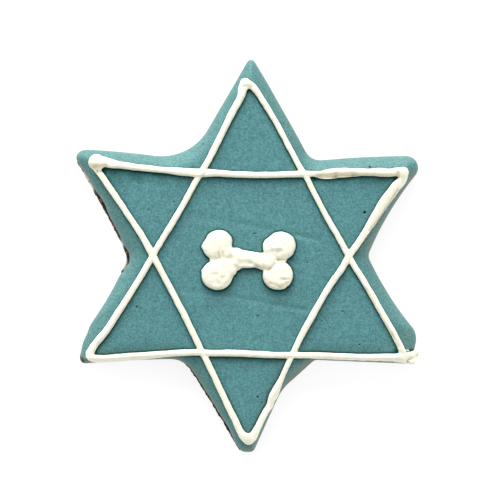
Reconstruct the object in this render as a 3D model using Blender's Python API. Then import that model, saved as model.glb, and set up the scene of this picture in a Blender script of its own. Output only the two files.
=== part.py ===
"""Iced dog cookie: a six-pointed star biscuit under a skin of teal icing, with two
interlocked triangles and a bone piped on top in white icing.

The cookie lies flat on z = 0 with its iced face up and one point towards +Y. Sizes in the
tables are millimetres and become metres as the meshes are made.
"""

import math

import bmesh
import bpy
from mathutils import Vector

MM = 0.001

# Heights above the surface that the cookie lies on.
COAT_TOP = 8.9
COAT_HEM = 1.9
COAT_THICKNESS = 1.0
FOOT_WIDEST = 1.0
LEDGE = 1.6
HEM_LIP = 0.1
GAP = 0.3
BELOW_FLOOR = -1.0
WELD_DISTANCE = 0.00001

# The foot of the biscuit shows along its lower left side, where the icing stops short of it.
LOWER_LEFT = Vector((-0.8, -0.6))
COAT_DRAW_BACK = 0.5
FOOT_TUCK = 0.45

# A blunt tip's short end wall moves in this many times as far as the long sides do, so
# that the tip keeps its width on the way up.
END_WALL_SHARE = 1.9

# Corners of the star, anticlockwise: name, x, y, rounding radius, and how far the side
# that follows bows outwards.
STAR_CORNERS = [
    ("right notch", 30.5, 0.0, 2.6, -0.9),
    ("upper right tip", 46.3, 26.0, 3.4, 0.2),
    ("upper right notch", 16.2, 24.3, 4.2, 0.0),
    ("top tip", 0.9, 51.6, 1.6, -0.1),
    ("upper left notch", -14.5, 24.8, 13.0, 0.0),
    ("upper left tip", -45.5, 27.7, 2.5, -0.4),
    ("left notch", -30.6, -0.5, 2.7, -0.6),
    ("lower left shoulder", -40.8, -18.9, 11.0, 0.5),
    ("lower left heel", -43.1, -27.5, 1.2, -0.3),
    ("lower left notch", -16.5, -26.2, 6.3, -0.2),
    ("bottom tip, left corner", -1.9, -50.0, 1.4, 0.0),
    ("bottom tip, right corner", 1.4, -50.1, 1.9, 0.0),
    ("lower right notch, outer bend", 8.7, -34.2, 12.0, 0.0),
    ("lower right notch, inner bend", 17.1, -26.7, 0.8, 0.0),
    ("lower right heel", 42.8, -27.7, 0.6, 0.0),
    ("lower right shoulder", 43.5, -20.4, 10.0, -0.6),
]
SHARPEST_TIP = 0.35
LONGEST_CUT = 0.48
ARC_STEPS = 4
SIDE_STEPS = 3

# The icing's outer face from its hem to the level top: how far in from the star's outline,
# and how high.
COAT_PROFILE = [
    (0.6, COAT_HEM),
    (0.1, 3.0),
    (0.0, 4.8),
    (0.3, 6.3),
    (1.1, 7.5),
    (2.4, 8.3),
    (4.2, 8.75),
    (6.0, COAT_TOP),
]

# The biscuit's foot below the icing: how far in, and how high.
FOOT_PROFILE = [
    (1.8, 0.0),
    (0.5, 0.4),
    (0.0, FOOT_WIDEST),
    (0.5, 1.5),
]

# Piped strokes: x, y and the width of the line at points along each one.
STROKES = {
    "down_triangle_top": [
        (-38.3, 23.75, 4.5),
        (-36.6, 23.8, 3.4),
        (-35.1, 23.5, 2.5),
        (-32.6, 23.2, 1.9),
        (-27.5, 22.5, 1.7),
        (-22.3, 21.9, 1.7),
        (-17.2, 21.4, 2.15),
        (-12.1, 21.1, 2.4),
        (-8.0, 21.2, 2.1),
        (-4.5, 21.0, 1.95),
        (0.6, 20.8, 1.9),
        (5.8, 20.8, 1.85),
        (10.9, 21.0, 1.9),
        (17.2, 21.0, 1.8),
        (18.9, 20.8, 2.4),
        (21.1, 21.0, 3.1),
        (23.6, 21.3, 2.9),
        (28.7, 21.45, 2.4),
        (31.3, 21.5, 2.25),
        (36.4, 21.3, 2.3),
        (39.3, 21.1, 3.1),
    ],
    "down_triangle_right": [
        (39.3, 21.1, 3.1),
        (37.7, 17.7, 3.15),
        (35.1, 14.4, 3.05),
        (32.3, 10.0, 2.5),
        (30.3, 6.8, 2.05),
        (25.7, 0.3, 1.9),
        (19.6, -9.5, 1.7),
        (13.6, -20.2, 1.7),
        (10.1, -27.8, 1.6),
        (8.6, -31.7, 1.85),
        (7.2, -34.2, 2.5),
        (6.6, -35.6, 2.4),
        (5.6, -37.9, 1.6),
        (4.7, -39.3, 1.8),
        (2.9, -42.9, 2.1),
        (1.7, -45.2, 2.35),
        (0.0, -46.7, 3.0),
    ],
    "down_triangle_left": [
        (-38.3, 23.75, 4.5),
        (-37.1, 20.1, 1.9),
        (-28.6, 7.6, 1.8),
        (-22.6, -2.8, 1.7),
        (-15.6, -16.1, 1.7),
        (-9.0, -29.7, 1.8),
        (-5.1, -38.3, 2.0),
        (-2.8, -43.0, 2.3),
        (0.0, -46.7, 3.0),
    ],
    "up_triangle_left": [
        (-0.3, 44.0, 2.8),
        (-1.2, 42.8, 2.4),
        (-1.6, 41.0, 2.1),
        (-2.8, 38.9, 1.9),
        (-4.3, 36.5, 1.9),
        (-8.2, 28.5, 1.8),
        (-12.1, 21.6, 1.7),
        (-19.8, 7.9, 1.7),
        (-28.8, -7.4, 1.7),
        (-35.7, -18.4, 1.9),
        (-39.3, -22.8, 2.1),
        (-40.3, -24.8, 2.2),
    ],
    "up_triangle_bottom": [
        (-40.3, -24.8, 2.2),
        (-39.3, -26.0, 2.1),
        (-36.6, -26.1, 2.0),
        (-28.1, -25.6, 1.8),
        (-16.3, -24.5, 1.8),
        (-4.4, -24.6, 2.0),
        (7.5, -25.1, 1.8),
        (19.3, -25.4, 1.7),
        (31.2, -25.7, 1.8),
        (38.3, -25.9, 2.2),
        (40.6, -25.9, 2.8),
        (42.8, -26.1, 3.1),
    ],
    "up_triangle_right": [
        (-0.3, 44.0, 2.8),
        (1.1, 43.2, 2.0),
        (2.6, 41.6, 1.8),
        (4.2, 38.9, 1.65),
        (7.3, 34.1, 1.5),
        (12.9, 23.3, 1.4),
        (18.8, 12.6, 1.4),
        (25.1, 1.6, 1.7),
        (31.0, -8.5, 1.7),
        (37.0, -19.6, 2.0),
        (39.2, -24.6, 1.8),
    ],
}
# The lower side's line breaks off square at the right; every other end is a round blob.
SQUARE_END = (42.8, -26.1)
STROKE_STEP = 2.4
STROKE_RISE = 0.65
END_RISE = 0.8
END_SWELL = 1.04

# The piped bone: each blob's name, x, y, its half width and half depth, and its height.
BONE_BLOBS = [
    ("upper left lobe", -7.7, 2.9, 4.0, 3.8, 2.8),
    ("lower left lobe", -7.8, -4.8, 4.05, 3.9, 2.7),
    ("upper right lobe", 8.1, 2.6, 4.2, 3.9, 2.8),
    ("lower right lobe", 7.7, -4.8, 3.9, 3.9, 2.9),
]
BLOB_RISE = 0.2
BONE_SHAFT = [
    (-6.5, -0.6, 5.0),
    (-3.2, -0.65, 5.6),
    (-0.2, -0.85, 4.5),
    (2.4, -1.0, 4.0),
    (4.2, -1.4, 4.6),
    (7.0, -1.6, 4.6),
]
SHAFT_RISE = 0.7
SHAFT_FLATNESS = 0.62

BISCUIT_BROWN = (0.24, 0.13, 0.07)
TEAL = (0.117, 0.292, 0.305)
IVORY = (0.90, 0.88, 0.80)


def clear_scene():
    for thing in list(bpy.data.objects):
        bpy.data.objects.remove(thing, do_unlink=True)


def make_material(name, colour, roughness):
    material = bpy.data.materials.new(name)
    material.use_nodes = True
    shader = material.node_tree.nodes["Principled BSDF"]
    shader.inputs["Base Color"].default_value = (*colour, 1.0)
    shader.inputs["Roughness"].default_value = roughness
    shader.inputs["Metallic"].default_value = 0.0
    return material


def add_object(name, mesh, collection, material=None):
    thing = bpy.data.objects.new(name, mesh)
    collection.objects.link(thing)
    if material:
        mesh.materials.clear()
        mesh.materials.append(material)
    return thing


def facing_lower_left(normal):
    return max(0.0, normal.dot(LOWER_LEFT))


def coat_edge(normal):
    return COAT_DRAW_BACK * facing_lower_left(normal)


def foot_edge(normal):
    return FOOT_TUCK * (1.0 - facing_lower_left(normal))


def outward(start, end):
    along = (end - start).normalized()
    return Vector((along.y, -along.x))


def turns_out(before, corner, after):
    return (corner - before).cross(after - corner) > 0.0


def inset_corners(inset, edge_rule):
    """The star's corners with every side moved in, and each corner's rounding radius."""
    points = [Vector((x, y)) for _, x, y, _, _ in STAR_CORNERS]
    count = len(points)
    convex = [turns_out(points[i - 1], points[i], points[(i + 1) % count]) for i in range(count)]
    lines = []
    for i in range(count):
        start, end = points[i], points[(i + 1) % count]
        normal = outward(start, end)
        share = END_WALL_SHARE if convex[i] and convex[(i + 1) % count] else 1.0
        shift = normal * -(inset * share + edge_rule(normal))
        lines.append((start + shift, end - start))
    corners = []
    for i in range(count):
        (start, along), (other, along_other) = lines[i - 1], lines[i]
        reach = (other - start).cross(along_other) / along.cross(along_other)
        rounding = STAR_CORNERS[i][3]
        rounding = max(SHARPEST_TIP, rounding - inset) if convex[i] else rounding + inset
        corners.append((start + along * reach, rounding))
    return corners


def star_ring(inset, edge_rule):
    """Points round the star at one height: an arc at each corner and a bowed side after it."""
    corners = inset_corners(inset, edge_rule)
    count = len(corners)
    arcs = []
    for i, (corner, rounding) in enumerate(corners):
        to_before = corners[i - 1][0] - corner
        to_after = corners[(i + 1) % count][0] - corner
        half_angle = to_before.angle(to_after) / 2.0
        room = LONGEST_CUT * min(to_before.length, to_after.length)
        cut = min(rounding / math.tan(half_angle), room)
        radius = cut * math.tan(half_angle)
        middle = (to_before.normalized() + to_after.normalized()).normalized()
        centre = corner + middle * radius / math.sin(half_angle)
        first = corner + to_before.normalized() * cut - centre
        last = corner + to_after.normalized() * cut - centre
        sweep = math.atan2(first.cross(last), first.dot(last))
        across = Vector((-first.y, first.x))
        arc = []
        for step in range(ARC_STEPS + 1):
            turn = sweep * step / ARC_STEPS
            arc.append(centre + first * math.cos(turn) + across * math.sin(turn))
        arcs.append(arc)
    ring = []
    for i, arc in enumerate(arcs):
        ring.extend(arc)
        start, end = arc[-1], arcs[(i + 1) % count][0]
        bow = outward(start, end) * STAR_CORNERS[i][4]
        for step in range(1, SIDE_STEPS):
            share = step / SIDE_STEPS
            ring.append(start.lerp(end, share) + bow * 4.0 * share * (1.0 - share))
    return ring


def offset_profile(profile, depth):
    """A profile moved inwards by depth, square to itself."""
    moved = []
    for i, point in enumerate(profile):
        before = Vector(profile[max(i - 1, 0)])
        after = Vector(profile[min(i + 1, len(profile) - 1)])
        along = (after - before).normalized()
        inwards = Vector((along.y, -along.x))
        moved.append(tuple(Vector(point) + inwards * depth))
    return moved


def loft_star(name, levels):
    """A closed solid through rings of the star; a level is (inset, height, edge rule)."""
    shape = bmesh.new()
    rings = []
    for inset, height, edge_rule in levels:
        points = star_ring(inset, edge_rule)
        verts = [shape.verts.new((p.x * MM, p.y * MM, height * MM)) for p in points]
        count = len(verts)
        rings.append([shape.edges.new((verts[i], verts[(i + 1) % count])) for i in range(count)])
    for lower, upper in zip(rings, rings[1:]):
        bmesh.ops.bridge_loops(shape, edges=lower + upper)
    for end in (rings[0], rings[-1]):
        bmesh.ops.contextual_create(shape, geom=end)
    bmesh.ops.recalc_face_normals(shape, faces=shape.faces)
    mesh = bpy.data.meshes.new(name)
    shape.to_mesh(mesh)
    shape.free()
    return mesh


def make_biscuit(collection):
    under_coat = offset_profile(COAT_PROFILE, COAT_THICKNESS + GAP)
    levels = [(inset, height, foot_edge) for inset, height in FOOT_PROFILE]
    levels.append((under_coat[0][0], LEDGE, coat_edge))
    levels += [(inset, height, coat_edge) for inset, height in under_coat[1:]]
    mesh = loft_star("biscuit", levels)
    return add_object("biscuit", mesh, collection, make_material("baked_dough", BISCUIT_BROWN, 0.85))


def make_coat(collection):
    inner = offset_profile(COAT_PROFILE, COAT_THICKNESS)
    inner[0] = (inner[0][0], COAT_HEM + HEM_LIP)
    levels = [(inset, height, coat_edge) for inset, height in reversed(inner)]
    levels += [(inset, height, coat_edge) for inset, height in COAT_PROFILE]
    mesh = loft_star("icing_coat", levels)
    return add_object("icing_coat", mesh, collection, make_material("teal_icing", TEAL, 0.55))


def make_coat_cutter(collection):
    """The icing's outer face grown by the gap and run down past the floor."""
    outer = offset_profile(COAT_PROFILE, -GAP)
    levels = [(outer[0][0], BELOW_FLOOR, coat_edge)]
    levels += [(inset, height, coat_edge) for inset, height in outer]
    cutter = add_object("coat_cutter", loft_star("coat_cutter", levels), collection)
    cutter.hide_render = True
    cutter.display_type = "WIRE"
    return cutter


def distance_to_ring(point, ring):
    nearest = math.inf
    for start, end in zip(ring, ring[1:] + ring[:1]):
        side = end - start
        share = max(0.0, min(1.0, (point - start).dot(side) / side.length_squared))
        nearest = min(nearest, (point - start - side * share).length)
    return nearest


def coat_height(x, y, ring):
    """Height of the icing's face under a point, from its distance to the outline."""
    inset = distance_to_ring(Vector((x, y)), ring)
    face = COAT_PROFILE[2:]
    for (near, low), (far, high) in zip(face, face[1:]):
        if inset < far:
            return low + (high - low) * (inset - near) / (far - near)
    return COAT_TOP


def smooth_route(route, step):
    """Points every step or so along a smooth curve through the route's own points."""
    points = [Vector(point) for point in route]
    padded = [2 * points[0] - points[1]] + points + [2 * points[-1] - points[-2]]
    smooth = []
    for before, start, end, after in zip(padded, padded[1:], padded[2:], padded[3:]):
        pieces = max(1, round((end - start).length / step))
        for piece in range(pieces):
            t = piece / pieces
            bend = 2 * before - 5 * start + 4 * end - after
            twist = 3 * start - before - 3 * end + after
            smooth.append(start + ((end - before) * t + bend * t**2 + twist * t**3) / 2)
    smooth.append(points[-1])
    return smooth


def make_bead(name, route, height_of, collection):
    """A round bead along a route of (x, y, width), made a closed mesh."""
    curve = bpy.data.curves.new(name, "CURVE")
    curve.dimensions = "3D"
    curve.bevel_depth = MM
    curve.bevel_resolution = 2
    curve.use_fill_caps = True
    spline = curve.splines.new("POLY")
    points = smooth_route(route, STROKE_STEP)
    spline.points.add(len(points) - 1)
    for spot, (x, y, width) in zip(spline.points, points):
        spot.co = (x * MM, y * MM, height_of(x, y) * MM, 1.0)
        spot.radius = width / 2.0
    thing = add_object(name + "_line", curve, collection)
    seen = thing.evaluated_get(bpy.context.evaluated_depsgraph_get())
    mesh = bpy.data.meshes.new_from_object(seen)
    bpy.data.objects.remove(thing, do_unlink=True)
    weld(mesh)
    return add_object(name, mesh, collection)


def weld(mesh):
    shape = bmesh.new()
    shape.from_mesh(mesh)
    bmesh.ops.remove_doubles(shape, verts=shape.verts, dist=WELD_DISTANCE)
    bmesh.ops.recalc_face_normals(shape, faces=shape.faces)
    shape.to_mesh(mesh)
    shape.free()


def make_blob(name, centre, half_sizes, collection):
    """A blob of icing: a sphere stretched to its three half sizes."""
    shape = bmesh.new()
    bmesh.ops.create_uvsphere(shape, u_segments=16, v_segments=10, radius=MM)
    bmesh.ops.scale(shape, vec=half_sizes, verts=shape.verts)
    bmesh.ops.translate(shape, vec=Vector(centre) * MM, verts=shape.verts)
    mesh = bpy.data.meshes.new(name)
    shape.to_mesh(mesh)
    shape.free()
    return add_object(name, mesh, collection)


def apply_boolean(thing, operation, cutter=None, group=None):
    modifier = thing.modifiers.new(operation.lower(), "BOOLEAN")
    modifier.operation = operation
    modifier.solver = "EXACT"
    if group:
        modifier.operand_type = "COLLECTION"
        modifier.collection = group
    else:
        modifier.object = cutter
    seen = thing.evaluated_get(bpy.context.evaluated_depsgraph_get())
    mesh = bpy.data.meshes.new_from_object(seen)
    thing.modifiers.clear()
    thing.data = mesh


def melt_together(name, pieces, group, cutter, material, collection):
    """Fuses the pieces into one body and trims its underside clear of the icing."""
    first = pieces[0]
    group.objects.unlink(first)
    bpy.context.scene.collection.objects.link(first)
    apply_boolean(first, "UNION", group=group)
    apply_boolean(first, "DIFFERENCE", cutter=cutter)
    mesh = first.data
    for piece in pieces:
        bpy.data.objects.remove(piece, do_unlink=True)
    mesh.name = name
    mesh.shade_smooth()
    return add_object(name, mesh, collection, material)


def make_piped_star(collection, group, cutter, material):
    ring = star_ring(0.0, coat_edge)

    def bead_height(x, y):
        return coat_height(x, y, ring) + STROKE_RISE

    pieces = [make_bead(name, route, bead_height, group) for name, route in STROKES.items()]
    ends = {}
    for route in STROKES.values():
        for x, y, width in (route[0], route[-1]):
            ends[(x, y)] = width / 2.0
    del ends[SQUARE_END]
    for (x, y), radius in ends.items():
        centre = (x, y, coat_height(x, y, ring) + END_RISE)
        spread = radius * END_SWELL
        pieces.append(make_blob("stroke_end", centre, (spread, spread, radius), group))
    return melt_together("piped_star", pieces, group, cutter, material, collection)


def make_piped_bone(collection, group, cutter, material):
    pieces = []
    for name, x, y, half_width, half_depth, height in BONE_BLOBS:
        rise = height * BLOB_RISE
        centre = (x, y, COAT_TOP + rise)
        pieces.append(make_blob(name, centre, (half_width, half_depth, height - rise), group))
    middle = COAT_TOP + SHAFT_RISE
    shaft = make_bead("shaft", BONE_SHAFT, lambda x, y: middle, group)
    for vert in shaft.data.vertices:
        vert.co.z = middle * MM + (vert.co.z - middle * MM) * SHAFT_FLATNESS
    pieces.append(shaft)
    return melt_together("piped_bone", pieces, group, cutter, material, collection)


def new_collection(name):
    collection = bpy.data.collections.new(name)
    bpy.context.scene.collection.children.link(collection)
    return collection


def main():
    clear_scene()
    cookie = new_collection("iced_dog_cookie")
    cutters = new_collection("cutters")
    make_biscuit(cookie)
    make_coat(cookie)
    cutter = make_coat_cutter(cutters)
    ivory = make_material("white_icing", IVORY, 0.6)
    make_piped_star(cookie, new_collection("star strokes"), cutter, ivory)
    make_piped_bone(cookie, new_collection("bone blobs"), cutter, ivory)


main()
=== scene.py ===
"""Dresses the packed iced dog cookie: baked biscuit, teal icing, piped star and piped bone.

Sizes in the tables are millimetres; meshes and the frame are metres. The cookie lies flat on
z = 0 with its iced face up, one point of the star towards +Y.
"""

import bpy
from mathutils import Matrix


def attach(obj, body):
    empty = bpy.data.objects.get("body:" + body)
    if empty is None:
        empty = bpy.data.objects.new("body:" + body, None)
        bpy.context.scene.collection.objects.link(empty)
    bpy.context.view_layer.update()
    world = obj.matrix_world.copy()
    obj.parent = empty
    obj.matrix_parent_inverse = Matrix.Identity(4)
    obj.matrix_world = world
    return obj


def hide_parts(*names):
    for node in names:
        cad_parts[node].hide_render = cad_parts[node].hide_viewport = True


bl_info = {
    "name": "Iced dog cookie",
    "version": (1, 0, 0),
    "blender": (4, 5, 0),
    "location": "3D View > Sidebar > Cookie",
    "description": "Bakes, ices and pipes a star-shaped dog cookie round its packed solids",
    "category": "Object",
}

import math

import bmesh
import bpy
from mathutils import Vector, noise
from mathutils.bvhtree import BVHTree

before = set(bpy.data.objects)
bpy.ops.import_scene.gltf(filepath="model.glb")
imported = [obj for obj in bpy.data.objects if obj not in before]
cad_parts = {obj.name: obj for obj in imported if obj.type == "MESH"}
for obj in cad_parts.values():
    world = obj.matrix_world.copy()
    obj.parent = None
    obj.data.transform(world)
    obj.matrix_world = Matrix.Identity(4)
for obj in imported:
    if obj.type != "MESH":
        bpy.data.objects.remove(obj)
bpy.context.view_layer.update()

MM = 0.001

# ---------------------------------------------------------------- driving sizes

# The icing: its hem and its level face above the floor, its thickness, its gap to the
# biscuit, and how high up its sides still move where it is drawn back.
COAT_HEM = 1.9
COAT_TOP = 8.9
COAT_THICKNESS = 1.0
COAT_GAP = 0.1
SHOULDER_TOP = 8.2

# On sides that face this way the icing is drawn back and the biscuit's foot shows most; on
# the others the foot is tucked in. Above the foot's top the icing covers the biscuit.
LOWER_LEFT = Vector((-0.87, -0.49))
COAT_DRAW_BACK = 0.55
FOOT_TUCK = 0.45
FOOT_TOP = 2.3

# Sides that face this way, away from the light, get painted shade in the dark brown of dough showing
# through.
SHADED_SIDE = Vector((0.5, -0.866))

# How much more the short walls across the blunt points lean in, and the least rounding that
# a corner keeps.
END_WALL_SHARE = 1.9
SHARPEST_TIP = 0.35

# How far the painted shadow of the piping reaches over the icing, the lowest that a line lies
# where it runs past the edge, the height past which heaped icing settles, and the depth past
# which a crease's painted shade gets no darker.
PIPING_SHADOW_REACH = 0.4
EDGE_HEIGHT = 4.8
SETTLE_HEIGHT = 1.8
FULL_CREASE = 0.6

# The stage: the floor lies just below the cookie, and the camera looks down from afar.
FLOOR_GAP = 0.05
VIEW_WIDTH = 127.714
VIEW_MIDDLE = (0.64, 1.53)
LENS = 800.0
SENSOR = 36.0

# Soft lights that all aim at the cookie: name, place and width in metres, and watts.
LIGHTS = [
    ("key_light", (-0.12, 0.95, 0.56), 0.8, 16.5),
    ("fill_light_left", (-0.85, 0.3, 0.4), 0.6, 3.0),
    ("fill_light_right", (0.8, -0.45, 0.35), 0.6, 3.0),
]

# Corners of the star, anticlockwise: name, x, y, rounding radius, and how far the side
# that follows bows outwards.
STAR_CORNERS = [
    ("right notch", 30.5, 0.0, 2.6, -0.8),
    ("upper right tip", 46.3, 25.93, 3.05, 0.2),
    ("upper right notch", 16.2, 24.3, 4.2, 0.2),
    ("top tip", 0.85, 51.35, 1.0, 0.0),
    ("upper left notch", -14.55, 24.85, 13.7, 0.2),
    ("upper left tip", -45.65, 27.6, 2.2, -0.35),
    ("left notch", -30.6, -0.5, 2.7, -0.45),
    ("lower left shoulder", -40.95, -18.8, 11.0, 0.5),
    ("lower left heel", -43.2, -27.65, 1.0, -0.2),
    ("lower left notch", -16.5, -26.25, 7.0, -0.15),
    ("bottom tip, left corner", -1.9, -50.15, 0.8, 0.0),
    ("bottom tip, right corner", 1.45, -50.3, 1.5, 0.0),
    ("lower right notch, outer bend", 8.7, -34.2, 12.0, 0.0),
    ("lower right notch, inner bend", 17.1, -26.7, 0.8, 0.0),
    ("lower right heel", 41.3, -27.6, 0.6, 0.1),
    ("lower right shoulder", 43.7, -20.5, 5.0, -0.6),
]

# The icing's outer face from its hem to the level top: how far in, and how high.
COAT_PROFILE = [
    (0.6, COAT_HEM),
    (0.1, 3.0),
    (0.0, 4.6),
    (0.35, 6.1),
    (1.05, 7.25),
    (1.95, 8.0),
    (3.0, 8.5),
    (4.3, 8.8),
    (6.5, COAT_TOP),
]

# The biscuit's foot below the icing: how far in, and how high; then how far in the rings
# of its flat underside lie.
FOOT_PROFILE = [
    (1.8, 0.0),
    (0.9, 0.12),
    (0.3, 0.5),
    (0.0, 1.0),
    (0.12, 1.5),
    (0.6, 1.9),
    (1.5, 2.1),
]
UNDERSIDE_INSETS = (5.0, 3.2)

# Where two strokes meet: x, y and the width of the icing there.
DOWN_LEFT_CORNER = (-38.5, 23.95, 4.1)
DOWN_RIGHT_CORNER = (39.8, 21.35, 2.8)
DOWN_BOTTOM_CORNER = (0.25, -46.75, 2.95)
UP_TOP_CORNER = (-0.5, 44.0, 2.85)
UP_LEFT_CORNER = (-40.3, -24.9, 2.15)

# Piped strokes: x, y and the width of the line at points along each one.
STROKES = {
    "down_triangle_top": [
        DOWN_LEFT_CORNER, (-36.5, 24.0, 2.7), (-35.1, 23.65, 2.45), (-32.6, 23.27, 1.92),
        (-30.1, 22.93, 1.88), (-27.5, 22.57, 1.65), (-24.9, 22.3, 1.72), (-22.3, 22.0, 1.6),
        (-19.75, 21.8, 1.74), (-17.2, 21.55, 2.0), (-14.65, 21.35, 2.15), (-12.1, 21.2, 2.2),
        (-8.0, 21.2, 1.9), (-4.5, 20.95, 1.7), (0.6, 20.72, 1.7), (5.8, 20.7, 1.66),
        (10.9, 20.87, 1.72), (14.0, 20.95, 1.65), (17.2, 21.0, 1.6), (18.9, 20.75, 2.05),
        (21.1, 20.95, 2.65), (23.6, 21.25, 2.5), (26.15, 21.3, 2.35), (28.7, 21.4, 2.0),
        (31.3, 21.4, 1.88), (33.85, 21.38, 2.3), (36.4, 21.25, 2.05), (38.2, 21.45, 2.3),
        DOWN_RIGHT_CORNER,
    ],
    "down_triangle_right": [
        DOWN_RIGHT_CORNER, (39.5, 19.4, 2.3), (37.95, 17.75, 2.65), (36.6, 15.9, 2.75),
        (35.35, 14.3, 2.7), (33.9, 12.1, 2.6), (32.5, 9.9, 2.35), (30.5, 6.7, 1.9),
        (28.3, 3.35, 1.75), (26.0, 0.15, 1.75), (24.1, -3.2, 1.75), (21.85, -6.35, 1.72),
        (19.75, -9.6, 1.68), (17.75, -13.15, 1.72), (15.75, -16.7, 1.78), (13.8, -20.3, 1.65),
        (10.2, -27.85, 1.4), (8.5, -31.7, 1.45), (7.3, -34.2, 2.1), (6.7, -35.55, 2.35),
        (6.1, -36.8, 1.95), (5.75, -38.1, 1.85), (4.9, -39.4, 1.7), (4.1, -40.8, 1.72),
        (3.36, -42.3, 1.8), (2.23, -44.6, 1.92), (1.35, -46.1, 2.35), DOWN_BOTTOM_CORNER,
    ],
    "down_triangle_left": [
        DOWN_LEFT_CORNER, (-38.2, 21.85, 1.9), (-37.5, 20.8, 1.6), (-37.0, 20.1, 1.6),
        (-34.9, 17.0, 1.6), (-32.75, 13.9, 1.6), (-30.7, 10.75, 1.52), (-28.55, 7.6, 1.58),
        (-26.4, 4.25, 1.75), (-22.6, -2.8, 1.72), (-19.1, -9.45, 1.62), (-15.65, -16.1, 1.75),
        (-12.35, -22.9, 1.62), (-8.95, -29.7, 1.65), (-7.0, -34.0, 1.62), (-5.0, -38.25, 1.65),
        (-3.85, -40.6, 1.72), (-2.95, -42.3, 1.8), (-2.0, -44.5, 1.8), (-1.0, -46.0, 2.3),
        DOWN_BOTTOM_CORNER,
    ],
    "up_triangle_left": [
        UP_TOP_CORNER, (-1.2, 42.8, 2.4), (-1.55, 41.05, 2.0), (-2.6, 38.9, 1.82),
        (-4.05, 36.35, 1.78), (-6.0, 32.35, 1.7), (-8.0, 28.35, 1.68), (-9.8, 24.8, 1.65),
        (-11.8, 21.4, 1.6), (-13.8, 18.0, 1.55), (-15.65, 14.55, 1.52), (-17.6, 11.1, 1.55),
        (-19.6, 7.75, 1.68), (-21.95, 4.0, 1.58), (-26.35, -3.7, 1.62), (-28.65, -7.5, 1.6),
        (-30.95, -11.2, 1.7), (-33.3, -14.8, 1.72), (-35.65, -18.5, 1.8), (-37.4, -20.7, 1.88),
        (-39.2, -22.9, 1.92), UP_LEFT_CORNER,
    ],
    "up_triangle_bottom": [
        UP_LEFT_CORNER, (-40.4, -25.5, 2.1), (-39.75, -26.0, 2.05), (-38.7, -26.2, 1.95),
        (-36.6, -26.2, 1.95), (-32.4, -25.9, 1.98), (-28.1, -25.6, 1.95), (-24.2, -25.3, 1.88),
        (-20.2, -24.95, 1.7), (-16.3, -24.7, 1.68), (-12.3, -24.6, 1.7), (-8.4, -24.85, 1.65),
        (-4.4, -24.8, 1.85), (-0.4, -24.93, 1.75), (3.5, -25.1, 1.78), (7.5, -25.3, 1.7),
        (15.4, -25.35, 1.65), (19.3, -25.5, 1.75), (26.2, -25.76, 1.77), (31.3, -25.9, 1.82),
        (37.2, -25.95, 2.1), (39.7, -26.0, 2.3), (41.5, -25.45, 2.0), (42.9, -24.95, 1.75),
    ],
    "tail_fold": [
        (38.0, -26.25, 1.8), (39.5, -26.5, 1.7), (40.5, -26.7, 1.5),
    ],
    "up_triangle_right": [
        UP_TOP_CORNER, (1.2, 43.35, 1.82), (2.6, 41.65, 1.62), (4.35, 39.0, 1.52),
        (7.3, 34.1, 1.48), (9.2, 30.5, 1.42), (11.1, 26.95, 1.48), (13.0, 23.35, 1.45),
        (15.3, 19.6, 1.5), (16.95, 16.25, 1.48), (18.85, 12.65, 1.42), (20.8, 8.9, 1.55),
        (23.0, 5.25, 1.55), (25.05, 1.5, 1.6), (26.85, -1.9, 1.6), (28.95, -5.2, 1.65),
        (30.95, -8.55, 1.6), (35.1, -15.85, 1.65), (37.2, -19.5, 1.66), (38.25, -21.6, 1.68),
        (39.0, -22.95, 1.66), (39.5, -24.2, 1.7), (40.0, -25.2, 1.8),
    ],
}

# The end without a round blob, where the last line runs into the lower one.
PLAIN_END = STROKES["up_triangle_right"][-1][:2]

# The piped bone: each blob's x, y, its half width and half depth, and its height; then the
# shaft's x, y and width at points along it.
BONE_BLOBS = [
    (-7.3, 3.75, 3.45, 2.9, 2.6),
    (-7.7, 2.3, 3.85, 3.2, 2.55),
    (-7.75, -4.85, 4.05, 3.85, 2.5),
    (8.5, 2.6, 3.85, 3.6, 2.65),
    (6.1, 2.3, 2.2, 2.5, 2.4),
    (10.4, 3.7, 1.6, 1.7, 2.0),
    (7.75, -4.9, 3.85, 3.8, 2.75),
    (-5.9, 0.9, 2.5, 2.2, 2.5),
    (-5.6, -2.2, 2.6, 2.2, 2.4),
    (-4.6, -3.5, 1.9, 1.8, 2.3),
    (-3.4, -0.6, 2.4, 2.5, 2.3),
    (5.7, -1.5, 2.0, 2.2, 2.9),
    (-8.5, -0.9, 1.15, 1.0, 2.0),
    (8.9, -0.95, 1.1, 1.0, 2.0),
    (-11.1, 2.4, 0.7, 0.6, 1.4),
    (-11.2, -3.9, 0.7, 0.6, 1.2),
    (-2.4, -3.1, 0.6, 0.6, 1.2),
]
BONE_SHAFT = [
    (-6.5, -0.6, 5.0),
    (-3.2, -0.65, 5.6),
    (-0.2, -0.85, 4.5),
    (2.4, -1.0, 4.0),
    (4.2, -1.4, 4.6),
    (7.0, -1.6, 4.6),
]
SHAFT_FLATNESS = 0.6

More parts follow.
